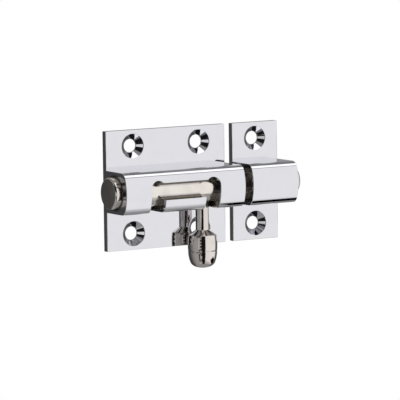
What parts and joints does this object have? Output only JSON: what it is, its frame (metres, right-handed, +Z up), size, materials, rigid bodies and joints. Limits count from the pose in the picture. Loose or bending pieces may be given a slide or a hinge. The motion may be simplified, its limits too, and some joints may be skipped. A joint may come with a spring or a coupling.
{
  "type": "toggle bolt latch",
  "caption": "Surface bolt latch: countersunk plate with a slotted barrel, a round bolt turned and drawn by a knob, and a matching keeper.",
  "frame": {"origin": "centre of the latch body's back face, which lies on the door", "axes": "+X along the bolt towards the keeper, +Y into the door, +Z up; the front faces -Y"},
  "size_m": [0.0724, 0.0155, 0.0472],
  "materials": {
    "housing": "polished chrome plate",
    "rod": "polished nickel plate",
    "steel": "bright hardened steel"
  },
  "bodies": {
    "body": {"latch_body": "housing"},
    "keeper_side": {"keeper": "housing"},
    "bolt_and_knob": {"bolt": "rod", "knob": "rod", "detent_ball": "steel", "detent_spring": "steel"}
  },
  "joints": [
    {"name": "knob_turn", "type": "hinge", "parent": "body", "child": "bolt_and_knob", "pos_m": [0, -0.0076, 0], "axis": [-1, 0, 0], "range_deg": [0, 100]},
    {"name": "keeper_slide", "type": "slide", "parent": "body", "child": "keeper_side", "axis": [1, 0, 0], "range_m": [-0.0025, 0.0211]}
  ]
}
